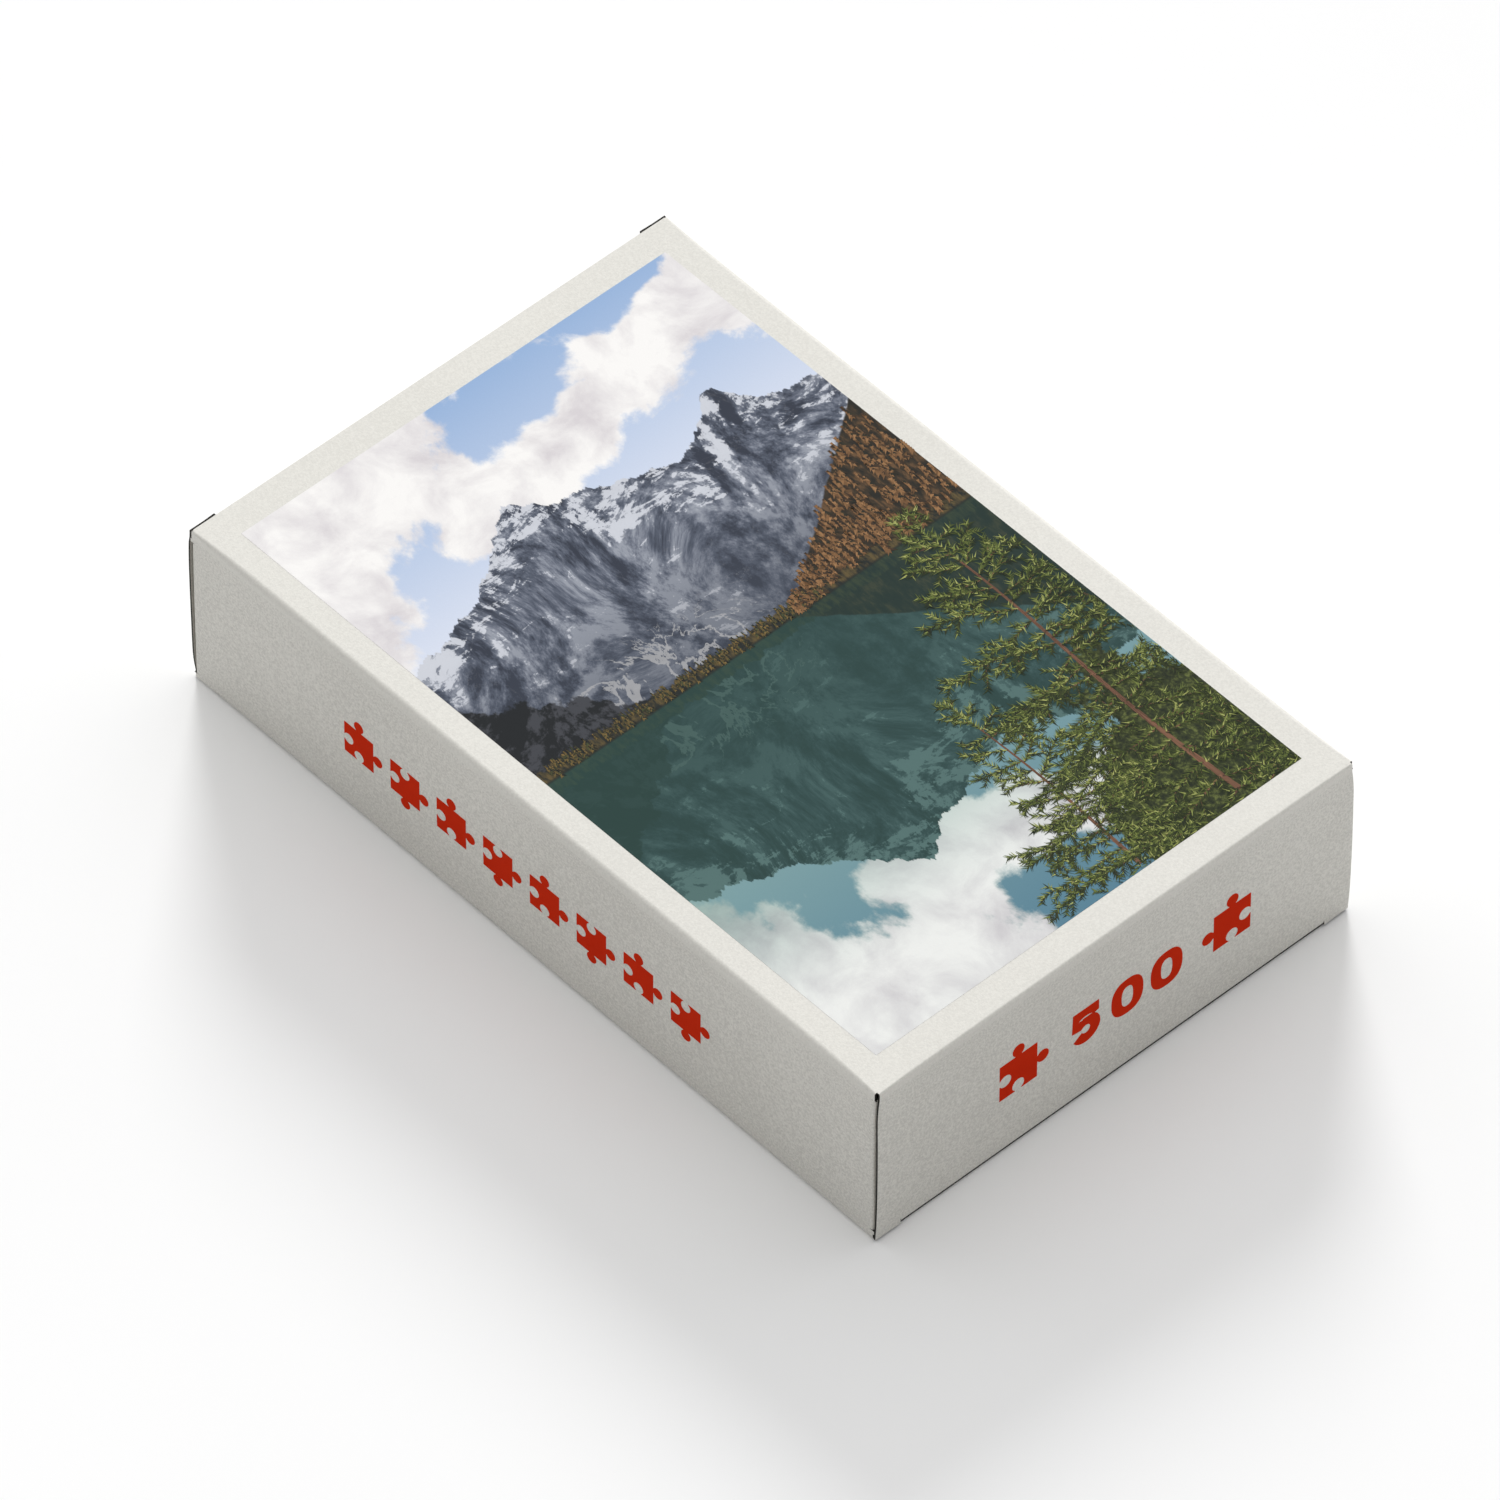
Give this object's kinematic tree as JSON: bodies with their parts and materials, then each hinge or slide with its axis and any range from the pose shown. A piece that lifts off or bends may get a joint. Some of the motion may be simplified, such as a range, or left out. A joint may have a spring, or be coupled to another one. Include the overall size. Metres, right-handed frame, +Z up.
{
  "type": "boxed jigsaw puzzle",
  "caption": "Flat reverse-tuck carton with a landscape print on its lid panel, tuck closures at both ends, and a sealed bag of loose jigsaw pieces inside.",
  "frame": {"origin": "middle of the box's bottom face", "axes": "+X along the box towards the end whose closure hinges on the lid panel, +Y across the box, +Z up; the print's top is towards -X"},
  "size_m": [0.22, 0.14, 0.048],
  "materials": {
    "boxboard": "uncoated matte",
    "cover_print": "matte printed",
    "red_ink": "matte printed",
    "puzzle_board": "pressed greyboard with a printed face",
    "bag_film": "clear film"
  },
  "bodies": {
    "carton": {"cover_panel": "boxboard", "base_panel": "boxboard", "left_side_panel": "boxboard", "right_side_panel": "boxboard", "glue_flap": "boxboard"},
    "front_closure": {"front_closure_panel": "boxboard"},
    "front_tuck": {"front_tuck_flap": "boxboard"},
    "front_left_dust": {"front_left_dust_flap": "boxboard"},
    "front_right_dust": {"front_right_dust_flap": "boxboard"},
    "back_closure": {"back_closure_panel": "boxboard"},
    "back_tuck": {"back_tuck_flap": "boxboard"},
    "back_left_dust": {"back_left_dust_flap": "boxboard"},
    "back_right_dust": {"back_right_dust_flap": "boxboard"},
    "bag": {"piece_bag": "bag_film", "corner_pieces": "puzzle_board", "edge_pieces": "puzzle_board", "one_tab_pieces": "puzzle_board", "two_tab_pieces": "puzzle_board", "three_tab_pieces": "puzzle_board", "four_tab_pieces": "puzzle_board", "no_tab_pieces": "puzzle_board"}
  },
  "joints": [
    {"name": "front_closure_hinge", "type": "hinge", "parent": "carton", "child": "front_closure", "pos_m": [0.10957, 0, 0.04757], "axis": [0, -1, 0], "range_deg": [0, 135]},
    {"name": "front_tuck_hinge", "type": "hinge", "parent": "front_closure", "child": "front_tuck", "pos_m": [0.1097, 0, 0.0011], "axis": [0, -1, 0], "range_deg": [0, 40.5]},
    {"name": "front_left_dust_hinge", "type": "hinge", "parent": "carton", "child": "front_left_dust", "pos_m": [0.10885, -0.06975, 0.024], "axis": [0, 0, -1], "range_deg": [0, 67.5]},
    {"name": "front_right_dust_hinge", "type": "hinge", "parent": "carton", "child": "front_right_dust", "pos_m": [0.10885, 0.06975, 0.024], "axis": [0, 0, 1], "range_deg": [0, 67.5]},
    {"name": "back_closure_hinge", "type": "hinge", "parent": "carton", "child": "back_closure", "pos_m": [-0.10957, 0, 0.00043], "axis": [0, -1, 0], "range_deg": [0, 90]},
    {"name": "back_tuck_hinge", "type": "hinge", "parent": "back_closure", "child": "back_tuck", "pos_m": [-0.1097, 0, 0.0469], "axis": [0, -1, 0], "range_deg": [0, 27]},
    {"name": "back_left_dust_hinge", "type": "hinge", "parent": "carton", "child": "back_left_dust", "pos_m": [-0.10885, -0.06975, 0.024], "axis": [0, 0, 1], "range_deg": [0, 45]},
    {"name": "back_right_dust_hinge", "type": "hinge", "parent": "carton", "child": "back_right_dust", "pos_m": [-0.10885, 0.06975, 0.024], "axis": [0, 0, -1], "range_deg": [0, 45]},
    {"name": "bag_slide", "type": "slide", "parent": "carton", "child": "bag", "axis": [1, 0, 0], "range_m": [-0.004, 0.004]}
  ],
  "couplings": [
    {"joint": "front_tuck_hinge", "follows": "front_closure_hinge", "ratio": 0.3},
    {"joint": "front_left_dust_hinge", "follows": "front_closure_hinge", "ratio": 0.5},
    {"joint": "front_right_dust_hinge", "follows": "front_closure_hinge", "ratio": 0.5},
    {"joint": "back_tuck_hinge", "follows": "back_closure_hinge", "ratio": 0.3},
    {"joint": "back_left_dust_hinge", "follows": "back_closure_hinge", "ratio": 0.5},
    {"joint": "back_right_dust_hinge", "follows": "back_closure_hinge", "ratio": 0.5}
  ]
}
